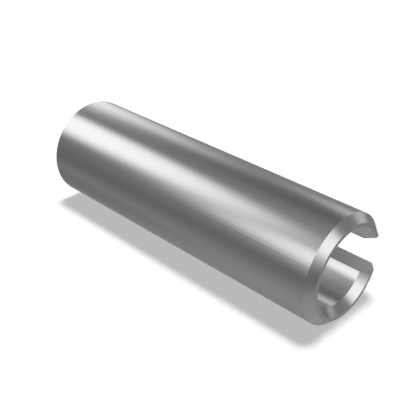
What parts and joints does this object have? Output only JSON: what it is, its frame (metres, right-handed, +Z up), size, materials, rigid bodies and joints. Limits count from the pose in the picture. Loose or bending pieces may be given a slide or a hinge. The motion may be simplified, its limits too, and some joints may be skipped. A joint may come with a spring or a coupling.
{
  "type": "slotted spring pin",
  "caption": "Slotted spring pin: a C-shaped tube of spring steel, open along one side, with a lead-in chamfer and a countersunk bore at each end.",
  "frame": {"origin": "centre of the foot, on the pin's axis at its lower end", "axes": "+Z up along the pin's axis, +Y out through the slot"},
  "size_m": [0.006, 0.0058, 0.02],
  "materials": {
    "spring_steel": "smooth satin steel, bare and even, with soft reflections and crisp chamfered ends"
  },
  "bodies": {
    "root": {"spring_pin": "spring_steel"}
  },
  "joints": []
}
